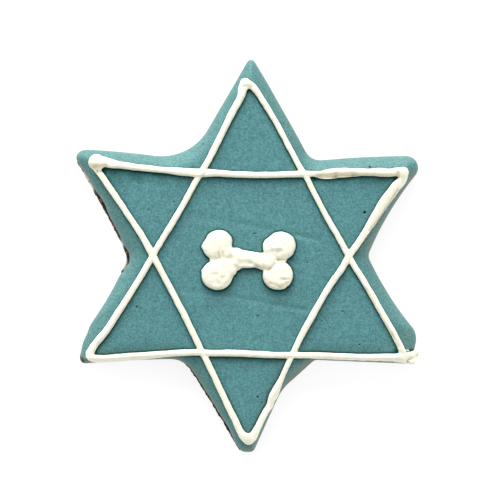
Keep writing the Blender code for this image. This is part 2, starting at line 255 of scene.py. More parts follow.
# Marks are lines on a face, each x, y, x, y, half width and rise; a negative rise is a
# groove, and a line without length is a dimple.
BONE_MARKS = [
    (-4.35, -0.5, -4.35, -0.5, 0.7, -0.45),
    (-7.5, 0.7, -7.2, -0.5, 0.3, -0.25),
    (-6.3, 0.9, -6.0, -0.3, 0.3, -0.25),
    (-7.0, 0.1, -7.0, 0.1, 1.1, -0.3),
    (-9.6, -0.95, -8.2, -0.9, 0.5, -0.25),
    (-9.1, -4.7, -7.3, -4.6, 0.4, -0.15),
    (-6.4, -5.75, -6.4, -5.75, 0.55, -0.2),
    (-7.8, -7.0, -7.2, -7.1, 0.7, -0.12),
    (-1.9, -1.6, 0.6, -1.7, 0.6, -0.2),
    (0.6, -1.7, 2.4, -2.7, 0.5, -0.2),
    (-1.8, -2.7, 1.6, -2.6, 0.4, 0.12),
    (6.1, 2.1, 8.3, 2.1, 0.55, 0.22),
    (6.6, 1.3, 8.3, 1.4, 0.5, -0.22),
    (7.9, 0.9, 7.7, 0.5, 0.4, -0.2),
    (7.4, -0.9, 9.8, -0.95, 0.4, -0.45),
    (4.5, -3.9, 5.7, -3.3, 0.45, -0.35),
    (5.7, -3.3, 7.1, -2.0, 0.45, -0.3),
    (9.4, -5.5, 9.6, -5.5, 0.5, 0.22),
    (8.8, -6.1, 9.3, -6.2, 0.45, -0.2),
    (5.7, -7.1, 5.7, -7.1, 0.7, -0.15),
    (5.8, -6.9, 8.3, -8.0, 0.3, -0.22),
    (8.3, -8.0, 10.4, -6.8, 0.3, -0.22),
    (8.6, -5.8, 10.4, -5.9, 0.3, -0.25),
    (-5.9, -7.5, -4.1, -5.6, 0.25, -0.22),
    (-4.1, -5.6, -3.3, -3.9, 0.25, -0.18),
    (2.4, -2.7, 4.0, -3.3, 0.35, -0.25),
]

# The flap where the top line folded over, and the creases where lines meet or ran double.
LINE_MARKS = [
    (18.3, 20.1, 22.5, 20.1, 0.95, -0.95),
    (22.5, 20.1, 27.0, 20.35, 0.95, -0.85),
    (27.0, 20.3, 38.3, 20.15, 0.65, -0.65),
    (-39.9, 22.7, -36.4, 22.6, 0.8, -0.6),
    (-38.9, 22.3, -38.1, 21.4, 0.6, -0.4),
    (-10.3, 22.1, -11.3, 20.2, 0.3, -0.3),
    (38.3, 16.9, 35.0, 11.75, 0.3, -0.6),
    (35.0, 11.75, 31.2, 6.5, 0.28, -0.55),
    (38.4, 21.2, 37.9, 20.2, 0.5, -0.45),
    (-0.9, 43.2, 0.8, 43.3, 0.5, -0.4),
    (37.0, -20.0, 37.5, -21.4, 0.35, -0.3),
    (40.9, -26.8, 41.6, -26.25, 0.3, -0.45),
    (41.6, -26.25, 43.2, -26.1, 0.3, -0.45),
    (43.5, -24.6, 43.9, -25.6, 0.35, -0.3),
    (30.4, -8.7, 38.6, -23.2, 0.4, -0.16),
]

# Painted shade on rims of the piping, where it turns away from the light: x, y, radius.
SHADED_RIMS = [
    (43.8, -24.6, 0.55),
    (43.5, -25.5, 0.55),
    (43.1, -26.6, 0.45),
    (42.6, -27.5, 0.45),
    (41.8, -27.8, 0.45),
    (41.1, -27.3, 0.45),
    (-38.4, 21.8, 0.5),
]

# Crumbs and drops of white icing beside the lines: x, y, radius, and how far the middle
# lies above the icing's level top.
DROPS = [
    (41.05, -24.15, 0.4, 0.15),
    (40.55, -23.95, 0.2, -0.05),
    (42.9, -23.85, 0.28, 0.3),
    (43.4, -24.1, 0.25, 0.5),
    (41.95, -26.95, 0.95, 0.2),
]

# Pinholes where air broke through the icing: x, y, radius, depth.
PINHOLES = [
    (29.9, 11.1, 0.45, 0.7),
    (31.3, 22.7, 0.3, 0.4),
    (-28.3, -13.0, 0.32, 0.35),
    (2.6, -15.3, 0.32, 0.35),
    (2.6, -36.0, 0.34, 0.4),
    (3.7, -37.5, 0.26, 0.3),
    (24.3, -14.1, 0.24, 0.3),
    (19.0, -16.6, 0.22, 0.25),
    (15.3, -1.7, 0.24, 0.25),
    (2.9, -5.9, 0.22, 0.2),
    (28.6, -22.7, 0.26, 0.3),
    (18.3, 1.3, 0.2, 0.2),
    (-11.4, 28.6, 0.24, 0.25),
    (-31.4, 16.6, 0.22, 0.2),
    (-18.8, 13.8, 0.24, 0.25),
    (-25.3, 11.7, 0.24, 0.25),
    (1.8, 5.7, 0.24, 0.25),
]

# Inner corners of the lines, where painted shade darkens the icing: x, y, radius and darkness.
SHADED_CORNERS = [
    (-36.7, 21.9, 1.0, 1.0),
    (-34.0, 21.0, 3.0, 0.4),
    (-28.0, 20.6, 2.4, 0.45),
    (-22.0, 20.2, 2.0, 0.35),
    (37.6, 20.1, 0.8, 1.0),
    (34.0, 19.9, 2.2, 0.35),
    (29.5, 19.5, 1.8, 0.3),
    (24.5, 18.8, 1.5, 0.25),
    (17.2, 19.8, 0.95, 1.0),
    (-39.1, -24.5, 0.8, 1.0),
    (38.1, -24.3, 0.8, 1.0),
    (40.35, -24.25, 0.45, 1.0),
    (41.85, -24.3, 0.6, 1.0),
    (0.3, 42.4, 0.6, 1.0),
]

# Spots where the icing is all but gone and the dough shows through: x, y, radius.
SHEER_SPOTS = [
    (-42.5, -26.2, 0.55),
    (-42.1, -26.9, 0.6),
]

# Faint ripples left in the icing as it set, written as marks.
RIPPLES = [
    (-14.7, 10.2, -1.9, 8.2, 0.8, -0.11),
    (-1.9, 8.2, 12.6, 5.4, 0.75, -0.18),
    (12.6, 5.4, 18.2, 4.0, 0.7, -0.26),
    (-16.7, -8.9, -5.2, -10.2, 0.8, -0.11),
    (-5.2, -10.2, 7.5, -12.5, 0.75, -0.19),
    (7.5, -12.5, 14.9, -13.8, 0.7, -0.26),
    (14.7, 1.5, 18.6, 1.0, 0.6, -0.05),
    (13.0, -1.2, 15.6, -1.6, 0.5, -0.05),
]

# Where the icing stops short and the biscuit shows beside it: x, y, reach along the edge,
# and how much wider than elsewhere; less than nothing is icing that reaches further. The
# biscuit itself moves out by no more than the most.
BARE_EDGES = [
    (-44.0, 26.0, 3.4, -0.55),
    (-37.3, 13.5, 2.6, 0.5),
    (-33.6, 6.4, 2.6, 0.2),
    (-30.7, 0.5, 2.0, 0.45),
    (-31.0, -2.0, 1.4, 0.8),
    (-31.8, -4.0, 0.8, 0.5),
    (-42.6, -25.9, 1.2, -0.3),
    (-5.2, -43.7, 1.6, 0.15),
    (-2.9, -48.0, 2.2, -0.45),
]
MOST_BARE = 0.6

# Paler patches of the baked edge: x, y, radius.
PALE_DOUGH = [
    (-41.0, 19.0, 2.6),
    (-32.2, 3.4, 0.9),
    (-31.2, -2.0, 1.2),
    (-35.0, -9.0, 4.0),
]


def clamped(value, highest=1.0):
    return max(0.0, min(highest, value))


def radii_away(x, y, spot_x, spot_y, radius):
    """How far a point lies from a spot, in radii of the spot."""
    return math.hypot(x - spot_x, y - spot_y) / radius


# ---------------------------------------------------------------- the star's outline


def facing_lower_left(normal):
    return max(0.0, normal.dot(LOWER_LEFT)) ** 3


def coat_edge(normal):
    return COAT_DRAW_BACK * facing_lower_left(normal)


def foot_edge(normal):
    return FOOT_TUCK * (1.0 - facing_lower_left(normal))


def outward(start, end):
    along = (end - start).normalized()
    return Vector((along.y, -along.x))


def turns_out(before, corner, after):
    return (corner - before).cross(after - corner) > 0.0


def inset_corners(inset, edge_rule):
    """The star's corners with every side moved in, and each corner's rounding radius."""
    points = [Vector((x, y)) for _, x, y, _, _ in STAR_CORNERS]
    count = len(points)
    convex = [turns_out(points[i - 1], points[i], points[(i + 1) % count]) for i in range(count)]
    lines = []
    for i in range(count):
        start, end = points[i], points[(i + 1) % count]
        normal = outward(start, end)
        share = END_WALL_SHARE if convex[i] and convex[(i + 1) % count] else 1.0
        shift = normal * -(inset * share + edge_rule(normal))
        lines.append((start + shift, end - start))
    corners = []
    for i in range(count):
        (start, along), (other, along_other) = lines[i - 1], lines[i]
        reach = (other - start).cross(along_other) / along.cross(along_other)
        rounding = STAR_CORNERS[i][3]
        rounding = max(SHARPEST_TIP, rounding - inset) if convex[i] else rounding + inset
        corners.append((start + along * reach, rounding))
    return corners


def corner_arcs(inset, edge_rule, steps):
    """The arc of points at each corner; steps says how many each arc is cut into."""
    corners = inset_corners(inset, edge_rule)
    count = len(corners)
    arcs = []
    for i, (corner, rounding) in enumerate(corners):
        to_before = corners[i - 1][0] - corner
        to_after = corners[(i + 1) % count][0] - corner
        half_angle = to_before.angle(to_after) / 2.0
        room = 0.48 * min(to_before.length, to_after.length)
        cut = min(rounding / math.tan(half_angle), room)
        radius = cut * math.tan(half_angle)
        middle = (to_before.normalized() + to_after.normalized()).normalized()
        centre = corner + middle * radius / math.sin(half_angle)
        first = corner + to_before.normalized() * cut - centre
        last = corner + to_after.normalized() * cut - centre
        sweep = math.atan2(first.cross(last), first.dot(last))
        across = Vector((-first.y, first.x))
        arc = []
        for step in range(steps[i] + 1):
            turn = sweep * step / steps[i]
            arc.append(centre + first * math.cos(turn) + across * math.sin(turn))
        arcs.append(arc)
    return arcs


def plan_steps(spacing):
    """How finely to cut each corner's arc and each side, so that points lie spacing apart."""
    count = len(STAR_CORNERS)
    arcs = corner_arcs(0.0, coat_edge, [8] * count)
    bends, sides = [], []
    for i, arc in enumerate(arcs):
        length = sum((b - a).length for a, b in zip(arc, arc[1:]))
        bends.append(max(5, round(length / spacing)))
        side = (arcs[(i + 1) % count][0] - arc[-1]).length
        sides.append(max(2, round(side / spacing)))
    return bends, sides


def star_ring(inset, edge_rule, steps):
    """Points round the star: an arc at each corner and a bowed side after it."""
    bends, sides = steps
    arcs = corner_arcs(inset, edge_rule, bends)
    ring = []
    for i, arc in enumerate(arcs):
        ring.extend(arc)
        start, end = arc[-1], arcs[(i + 1) % len(arcs)][0]
        bow = outward(start, end) * STAR_CORNERS[i][4]
        for step in range(1, sides[i]):
            share = step / sides[i]
            ring.append(start.lerp(end, share) + bow * 4.0 * share * (1.0 - share))
    return ring


def smooth_route(route, step):
    """Points every step or so along a smooth curve through the route's own points."""
    points = [Vector(point) for point in route]
    padded = [2 * points[0] - points[1]] + points + [2 * points[-1] - points[-2]]
    smooth = []
    for before, start, end, after in zip(padded, padded[1:], padded[2:], padded[3:]):
        pieces = max(1, round((end - start).length / step))
        for piece in range(pieces):
            t = piece / pieces
            bend = 2 * before - 5 * start + 4 * end - after
            twist = 3 * start - before - 3 * end + after
            smooth.append(start + ((end - before) * t + bend * t**2 + twist * t**3) / 2)
    smooth.append(points[-1])
    return smooth


def offset_profile(profile, depth):
    """A profile moved inwards by depth, square to itself."""
    moved = []
    for i, point in enumerate(profile):
        before = Vector(profile[max(i - 1, 0)])
        after = Vector(profile[min(i + 1, len(profile) - 1)])
        along = (after - before).normalized()
        inwards = Vector((along.y, -along.x))
        moved.append(Vector(point) + inwards * depth)
    return moved


def marked_rise(x, y, marks):
    """Rise at a point of a face from the marks that pass near it."""
    rise = 0.0
    for x0, y0, x1, y1, half_width, height in marks:
        side_x, side_y = x1 - x0, y1 - y0
        length_squared = side_x**2 + side_y**2 or 1.0
        share = clamped(((x - x0) * side_x + (y - y0) * side_y) / length_squared)
        away = radii_away(x, y, x0 + side_x * share, y0 + side_y * share, half_width)
        if away < 3.0:
            rise += height * math.exp(-(away**2))
    return rise


def bare_width(x, y):
    """How far the icing is drawn back beside a point of its edge."""
    width = 0.0
    for bare_x, bare_y, reach, more in BARE_EDGES:
        away = radii_away(x, y, bare_x, bare_y, reach)
        if away < 2.5:
            width += more * math.exp(-(away**2))
    return width


def ripple(x, y, z, size, seed=0.0):
    """Smooth unevenness between about -1 and 1, with bumps of the given size in mm."""
    return noise.noise(Vector((x / size + seed, y / size - seed, z / size + 2.0 * seed)))


# ---------------------------------------------------------------- modelling helpers


def deselect_all():
    if bpy.context.object and bpy.context.object.mode != "OBJECT":
        bpy.ops.object.mode_set(mode="OBJECT")
    bpy.ops.object.select_all(action="DESELECT")


def select_only(*things):
    deselect_all()
    for thing in things:
        thing.select_set(True)
    bpy.context.view_layer.objects.active = things[0]


def loft_rings(name, rings):
    """A closed skin through rings of points, extruded ring by ring from a circle."""
    deselect_all()
    bpy.ops.mesh.primitive_circle_add(vertices=len(rings[0]), radius=MM, fill_type="NGON")
    piece = bpy.context.object
    piece.name = name
    piece.data.name = name
    station = piece.data.attributes.new("station", "INT", "POINT")
    for vert in piece.data.vertices:
        station.data[vert.index].value = vert.index
        vert.co = rings[0][vert.index]
    bpy.ops.object.mode_set(mode="EDIT")
    bpy.ops.mesh.select_mode(type="EDGE")
    bpy.ops.mesh.select_all(action="SELECT")
    bpy.ops.mesh.flip_normals()
    for ring in rings[1:]:
        bpy.ops.mesh.extrude_edges_move()
        shape = bmesh.from_edit_mesh(piece.data)
        layer = shape.verts.layers.int["station"]
        for vert in shape.verts:
            if vert.select:
                vert.co = ring[vert[layer]]
        bmesh.update_edit_mesh(piece.data)
    bpy.ops.mesh.edge_face_add()
    bpy.ops.mesh.select_all(action="SELECT")
    bpy.ops.mesh.normals_make_consistent(inside=False)
    bpy.ops.object.mode_set(mode="OBJECT")
    piece.data.attributes.remove(piece.data.attributes["station"])
    bpy.ops.object.shade_smooth()
    return piece


def face_tree(piece):
    """The piece's faces, for finding how high its surface lies."""
    return BVHTree.FromObject(piece, bpy.context.evaluated_depsgraph_get())


def face_height(tree, x, y):
    """Height of the face under a point, in millimetres; beside the piece, of the nearest one."""
    above = Vector((x, y, 2.0 * COAT_TOP)) * MM
    spot, _, _, _ = tree.ray_cast(above, Vector((0.0, 0.0, -1.0)))
    if spot is None:
        spot, _, _, _ = tree.find_nearest(Vector((x, y, EDGE_HEIGHT)) * MM)
    return max(spot.z / MM, EDGE_HEIGHT)


def piped_bead(name, route, height_of, wobble):
    """A round bead along a route of (x, y, width) in millimetres, made a mesh."""
    curve = bpy.data.curves.new(name, "CURVE")
    curve.dimensions = "3D"
    curve.bevel_depth = MM
    curve.bevel_resolution = 6
    curve.use_fill_caps = True
    spline = curve.splines.new("POLY")
    points = smooth_route(route, 0.5)
    spline.points.add(len(points) - 1)
    for spot, (x, y, width) in zip(spline.points, points):
        sway = wobble * ripple(x, y, 0.0, 2.3, seed=3.7)
        spot.co = ((x + sway) * MM, (y + sway) * MM, height_of(x, y, width) * MM, 1.0)
        spot.radius = width / 2.0 * (1.0 + wobble * 1.6 * ripple(x, y, 0.0, 1.6, seed=8.1))
    bead = bpy.data.objects.new(name, curve)
    bpy.context.scene.collection.objects.link(bead)
    select_only(bead)
    bpy.ops.object.convert(target="MESH")
    return bpy.context.object


def icing_blob(name, centre, half_sizes, fullness=2.0):
    """A sphere stretched to its half sizes; past a fullness of 2 its top is flatter."""
    deselect_all()
    bpy.ops.mesh.primitive_uv_sphere_add(segments=40, ring_count=24, radius=1.0)
    blob = bpy.context.object
    blob.name = name
    for vert in blob.data.vertices:
        across = math.hypot(vert.co.x, vert.co.y)
        if across > 0.001:
            spread = (1.0 - min(1.0, abs(vert.co.z)) ** fullness) ** (1.0 / fullness) / across
            vert.co.x *= spread
            vert.co.y *= spread
    blob.scale = Vector(half_sizes) * MM
    blob.location = Vector(centre) * MM
    bpy.ops.object.transform_apply(location=True, rotation=True, scale=True)
    return blob


def even_skin(piece, voxel, smoothing):
    """Gives the piece one even skin of small faces, which melts what overlaps together."""
    select_only(piece)
    melt = piece.modifiers.new("melt", "REMESH")
    melt.mode = "VOXEL"
    melt.voxel_size = voxel * MM
    bpy.ops.object.modifier_apply(modifier=melt.name)
    bpy.ops.object.mode_set(mode="EDIT")
    bpy.ops.mesh.select_all(action="SELECT")
    bpy.ops.mesh.vertices_smooth(factor=0.5, repeat=smoothing)
    bpy.ops.mesh.normals_make_consistent(inside=False)
    bpy.ops.object.mode_set(mode="OBJECT")
    bpy.ops.object.shade_smooth()


def melt_together(name, pieces, voxel, smoothing):
    """Joins overlapping pieces of wet icing into one skin, and softens where they meet."""
    select_only(*pieces)
    bpy.ops.object.join()
    piece = bpy.context.object
    piece.name = name
    piece.data.name = name
    even_skin(piece, voxel, smoothing)
    return piece


def note_layers(piece, *names):
    """New float layers on the piece's vertices, by name, all empty."""
    for name in names:
        piece.data.attributes.new(name, "FLOAT", "POINT")
    return [piece.data.attributes[name].data for name in names]


def roughen(piece, layers, marks):
    """Makes the surface uneven and presses the marks in, noting how deep each crease is for the painted
    shade in it.

    The layers are pairs of a bump's size and its height.
    """
    (crease_shade,) = note_layers(piece, "crease_shade")
    normals = [vert.normal.copy() for vert in piece.data.vertices]
    for vert, normal in zip(piece.data.vertices, normals):
        x, y, z = vert.co / MM
        height = sum(rise * ripple(x, y, z, size, seed=size) for size, rise in layers)
        vert.co = vert.co + normal * height * MM
        if normal.z > 0.0:
            pressed = marked_rise(x, y, marks) * min(1.0, 1.5 * normal.z)
            vert.co.z += pressed * MM
            # How much painted shade the crease gets.
            crease_shade[vert.index].value = clamped(-pressed, FULL_CREASE)


def thin_hidden_faces(piece, hidden_by, reach, ratio):
    """Merges faces of the wall that lies against another piece, where no one sees them."""
    tree = face_tree(hidden_by)
    group = piece.vertex_groups.new(name="hidden")
    hidden = [v.index for v in piece.data.vertices if tree.find_nearest(v.co, reach * MM)[0]]
    group.add(hidden, 1.0, "REPLACE")
    select_only(piece)
    merge = piece.modifiers.new("merge", "DECIMATE")
    merge.ratio = ratio
    merge.vertex_group = group.name
    bpy.ops.object.modifier_apply(modifier=merge.name)
    piece.vertex_groups.clear()


def paint_piping_shadow(coat, piping, reach):
    """Cuts the icing's faces finer beside the piping, and notes how much painted shadow each one gets
    there.

    The painted shadow reaches further below a line, away from the light, than above it.
    """
    tree = face_tree(piping)
    shape = bmesh.new()
    shape.from_mesh(coat.data)
    near = set()
    for vert in shape.verts:
        if vert.normal.z > 0.1 and tree.find_nearest(vert.co, 2.0 * reach * MM)[0]:
            near.update(vert.link_edges)
    bmesh.ops.subdivide_edges(shape, edges=list(near), cuts=1, use_grid_fill=True)
    layer = shape.verts.layers.float.get("piping_shadow") or shape.verts.layers.float.new("piping_shadow")
    for vert in shape.verts:
        if vert.normal.z > 0.1:
            spot, _, _, away = tree.find_nearest(vert.co, 8.0 * reach * MM)
            if spot is not None:
                # Painted shadow: darker and wider on the side of a line away from the light.
                below = max(0.0, (spot - vert.co).to_2d().normalized().y)
                dark = piping_shadow_darkness(vert.co / MM, away / MM, below, reach)
                vert[layer] = max(vert[layer], min(1.0, dark))
    shape.to_mesh(coat.data)
    shape.free()


def piping_shadow_darkness(point, away, below, reach):
    """Painted shadow: a dark line close to the piping, a faint wide one, and the shaded inner corners.
    """
    near_share = math.exp(-((away / (reach * (1.0 + 0.45 * below))) ** 2))
    wide_share = math.exp(-((away / (3.5 * reach)) ** 2))
    dark = near_share + (0.05 + 0.33 * below**2) * wide_share
    # Painted shade in the inner corners.
    for x, y, radius, corner_shade in SHADED_CORNERS:
        off = radii_away(point.x, point.y, x, y, radius)
        dark += (1.0 - dark) * corner_shade * math.exp(-(off**2))
    return dark


def shade_rims(piece):
    """Paints shade on the rims of the piping that turn away from the light, noted as deep creases."""
    crease_shade = piece.data.attributes["crease_shade"].data
    for vert in piece.data.vertices:
        for x, y, radius in SHADED_RIMS:
            away = radii_away(vert.co.x / MM, vert.co.y / MM, x, y, radius)
            if away < 2.0:
                rim_shade = math.exp(-(away**2))
                crease_shade[vert.index].value = max(crease_shade[vert.index].value, rim_shade)


def settle(piece, tree, highest, share):
    """Sinks what stands higher than highest above the icing's face to a share of the rest."""
    for vert in piece.data.vertices:
        x, y, z = vert.co / MM
        rest = z - face_height(tree, x, y) - highest
        if rest > 0.0:
            vert.co.z -= rest * (1.0 - share) * MM


# ---------------------------------------------------------------- materials

# What the teal is multiplied by where it lies thin down the sides, and the painted highlight on slopes
# that face the light.
THIN_TINT = (1.16, 1.0, 0.91)
LIT_SLOPE_TINT = (1.2, 1.13, 1.14)

# The painted shadow beside the piping, and the dough that shows through ever thinner icing, whose brown
# is also painted shade on sides that face away from the light.
PIPING_SHADOW_COLOUR = (0.001, 0.05, 0.042)
DOUGH_AND_SHADE_COLOURS = [(0.3, (0.25, 0.25, 0.2)), (0.85, (0.14, 0.108, 0.085)), (1.0, (0.06, 0.056, 0.016))]

# Painted shade in the white's creases and dim rims: what the white is multiplied by, from no crease to
# the deepest.
CREASE_SHADE_TINTS = [(0.0, (1.0, 1.0, 1.0)), (0.6, (0.88, 0.82, 0.72)), (1.0, (0.6, 0.58, 0.52))]

# Crumb at the biscuit's edge: the lightest bits between the near-black ones, which are scorch and
# painted shade, and pale patches.
LIGHT_CRUMB = (0.42, 0.2, 0.08)
PALE_CRUMB = [(0.38, (0.25, 0.19, 0.13)), (0.52, (0.75, 0.69, 0.6))]

FLOOR_GREY = (0.28, 0.28, 0.28, 1.0)
WHITE = (1.0, 1.0, 1.0, 1.0)


def new_material(name):
    material = bpy.data.materials.new(name)
    material.use_nodes = True
    nodes = material.node_tree.nodes
    return material, nodes, material.node_tree.links, nodes["Principled BSDF"]


def layer_node(nodes, name):
    """Reads a float layer of the piece's vertices."""
    layer = nodes.new("ShaderNodeAttribute")
    layer.attribute_name = name
    return layer.outputs["Fac"]


def noise_node(nodes, links, scale, detail, roughness=0.5):
    """Uneven spots; a scale of 1000 makes them about a millimetre wide."""
    coordinates = nodes.new("ShaderNodeTexCoord")
    texture = nodes.new("ShaderNodeTexNoise")
    texture.inputs["Scale"].default_value = scale
    texture.inputs["Detail"].default_value = detail
    texture.inputs["Roughness"].default_value = roughness
    links.new(coordinates.outputs["Object"], texture.inputs["Vector"])
    return texture.outputs["Fac"]


def ramp_node(nodes, links, source, stops):
    """Turns a value into a colour, by stops of (value, colour)."""
    ramp = nodes.new("ShaderNodeValToRGB")
    elements = ramp.color_ramp.elements
    while len(elements) < len(stops):
        elements.new(0.5)
    for element, (place, colour) in zip(elements, stops):
        element.position = place
        element.color = (*colour, 1.0)
    links.new(source, ramp.inputs["Fac"])
    return ramp.outputs["Color"]


def mix_node(nodes, links, factor, first, second, blend="MIX"):
    """Mixes two colours; each value is a number or colour, or another node's output."""
    mix = nodes.new("ShaderNodeMix")
    mix.data_type = "RGBA"
    mix.blend_type = blend
    for socket, value in (("Factor", factor), ("A", first), ("B", second)):
        target = next(s for s in mix.inputs if s.name == socket and s.enabled)
        if isinstance(value, bpy.types.NodeSocket):
            links.new(value, target)
        elif socket == "Factor":
            target.default_value = value
        else:
            target.default_value = (*value, 1.0)
    return next(s for s in mix.outputs if s.enabled)


def bump_node(nodes, links, height, distance, strength):
    bump = nodes.new("ShaderNodeBump")
    bump.inputs["Distance"].default_value = distance
    bump.inputs["Strength"].default_value = strength
    links.new(height, bump.inputs["Height"])
    return bump.outputs["Normal"]


def scaled(colour, amount):
    return tuple(min(1.0, channel * amount) for channel in colour)


def grey_stops(low, low_grey, high, high_grey):
    """Two grey stops, for a ramp that gives a roughness or a gloss."""
    return [(low, (low_grey,) * 3), (high, (high_grey,) * 3)]


def teal_icing(look):
    """Set icing: satin, mottled; painted shade in the pinholes, beside the piping and on sides facing
    away from the light, a painted highlight on slopes facing it; the dough shows through thin sides.
    """
    material, nodes, links, shader = new_material("teal_icing")
    teal = tuple(look.teal)
    mottle = noise_node(nodes, links, 2300.0, 2.0, 0.6)
    patches = noise_node(nodes, links, 420.0, 3.0)
    fine = ramp_node(nodes, links, mottle, [(0.3, scaled(teal, 0.64)), (0.7, scaled(teal, 1.36))])
    broad = ramp_node(nodes, links, patches, [(0.3, (0.90, 0.93, 0.93)), (0.7, (1.0, 1.0, 1.0))])
    colour = mix_node(nodes, links, 1.0, fine, broad, "MULTIPLY")
    # The thin sides' tint, and the painted highlight on slopes that face the light.
    for layer, tint in (("thin", THIN_TINT), ("lit_slope_highlight", LIT_SLOPE_TINT)):
        tinted = mix_node(nodes, links, 1.0, colour, tint, "MULTIPLY")
        colour = mix_node(nodes, links, layer_node(nodes, layer), colour, tinted)
    # Dough through thin icing, and painted shade in the same brown on sides facing away from the light.
    sheer_and_shade = layer_node(nodes, "sheer_and_shade")
    showing = ramp_node(nodes, links, sheer_and_shade, DOUGH_AND_SHADE_COLOURS)
    colour = mix_node(nodes, links, sheer_and_shade, colour, showing)
    # Painted shadow beside the piping and in its inner corners; it also dulls the gloss there.
    piping_shadow = layer_node(nodes, "piping_shadow")
    colour = mix_node(nodes, links, piping_shadow, colour, PIPING_SHADOW_COLOUR)
    # Painted shade inside the pinholes.
    colour = mix_node(nodes, links, layer_node(nodes, "pinhole_shade"), colour, scaled(teal, 0.05))
    links.new(colour, shader.inputs["Base Color"])
    rough = ramp_node(nodes, links, mottle, grey_stops(0.3, 0.48, 0.7, 0.62))
    links.new(rough, shader.inputs["Roughness"])
    gloss = ramp_node(nodes, links, piping_shadow, grey_stops(0.0, 0.35, 0.8, 0.0))
    links.new(gloss, shader.inputs["Specular IOR Level"])
    grain = noise_node(nodes, links, 1900.0, 2.0)
    links.new(bump_node(nodes, links, grain, 0.14 * MM, 0.5), shader.inputs["Normal"])
    shader.inputs["IOR"].default_value = 1.48
    return material


def white_icing(look):
    """Set piped icing: ivory, satin, slightly see-through at the surface, with painted shade in its
    creases and on its dim rims.
    """
    material, nodes, links, shader = new_material("white_icing")
    white = tuple(look.white)
    cloud = noise_node(nodes, links, 700.0, 3.0)
    tint = ramp_node(nodes, links, cloud, [(0.3, scaled(white, 0.92)), (0.7, scaled(white, 1.03))])
    # Painted shade in the white's creases and on its dim rims.
    crease_shaded = ramp_node(nodes, links, layer_node(nodes, "crease_shade"), CREASE_SHADE_TINTS)
    colour = mix_node(nodes, links, 1.0, tint, crease_shaded, "MULTIPLY")
    links.new(colour, shader.inputs["Base Color"])
    shader.inputs["Roughness"].default_value = 0.45
    shader.inputs["Subsurface Weight"].default_value = 0.7
    shader.inputs["Subsurface Radius"].default_value = (1.0, 0.9, 0.7)
    shader.inputs["Subsurface Scale"].default_value = 0.8 * MM
    grain = noise_node(nodes, links, 1700.0, 3.0, 0.6)
    links.new(bump_node(nodes, links, grain, 0.14 * MM, 0.4), shader.inputs["Normal"])
    return material


def baked_dough(look):
    """Baked crust: brown below, near black along the foot's edge, which is partly scorch and partly
    painted shade under the icing's hem, with paler patches of crumb.
    """
    material, nodes, links, shader = new_material("baked_dough")
    crust = tuple(look.crust)
    crumb = noise_node(nodes, links, 900.0, 4.0, 0.6)
    stops = [(place, scaled(crust, share)) for place, share in ((0.32, 0.45), (0.46, 0.85), (0.6, 1.3))]
    baked = ramp_node(nodes, links, crumb, stops)
    stops = [(place, scaled(crust, share)) for place, share in ((0.4, 0.04), (0.54, 0.16), (0.6, 1.1))]
    scorched_and_shaded = ramp_node(nodes, links, crumb, [*stops, (0.68, LIGHT_CRUMB)])
    pale = ramp_node(nodes, links, crumb, PALE_CRUMB)
    # Near black along the foot: partly scorch, partly painted shade under the icing's hem.
    colour = mix_node(nodes, links, layer_node(nodes, "scorched_and_shaded"), baked, scorched_and_shaded)
    colour = mix_node(nodes, links, layer_node(nodes, "pale"), colour, pale)
    links.new(colour, shader.inputs["Base Color"])
    shader.inputs["Roughness"].default_value = 0.8
    pits = noise_node(nodes, links, 900.0, 4.0, 0.7)
    links.new(bump_node(nodes, links, pits, 0.4 * MM, 0.6), shader.inputs["Normal"])
    return material


def paint(piece, material):
    piece.data.materials.clear()
    piece.data.materials.append(material)


# ---------------------------------------------------------------- sizes and colours


class CookieSizes(bpy.types.PropertyGroup):
    fineness: bpy.props.FloatProperty(
        name="Fineness",
        description="Size of the faces that the icing is made of, in millimetres",
        default=0.4,
        min=0.25,
    )
    hem_wave: bpy.props.FloatProperty(
        name="Hem wave",
        description="How far the icing's lower edge rises and falls, in millimetres",
        default=0.5,
        min=0.0,
    )
    bead_wobble: bpy.props.FloatProperty(
        name="Bead wobble",
        description="How unevenly the lines are piped, as a share of a millimetre",
        default=0.04,
        min=0.0,
    )


COLOUR = {"subtype": "COLOR", "size": 3, "min": 0.0, "max": 1.0}


class CookieLook(bpy.types.PropertyGroup):
    teal: bpy.props.FloatVectorProperty(
        name="Icing",
        description="Colour of the icing that covers the biscuit",
        default=(0.077, 0.225, 0.238),
        **COLOUR,
    )
    white: bpy.props.FloatVectorProperty(
        name="Piping",
        description="Colour of the piped icing",
        default=(0.88, 0.867, 0.73),
        **COLOUR,
    )
    crust: bpy.props.FloatVectorProperty(
        name="Crust",
        description="Colour of the baked biscuit",
        default=(0.17, 0.085, 0.042),
        **COLOUR,
    )


# ---------------------------------------------------------------- the pieces


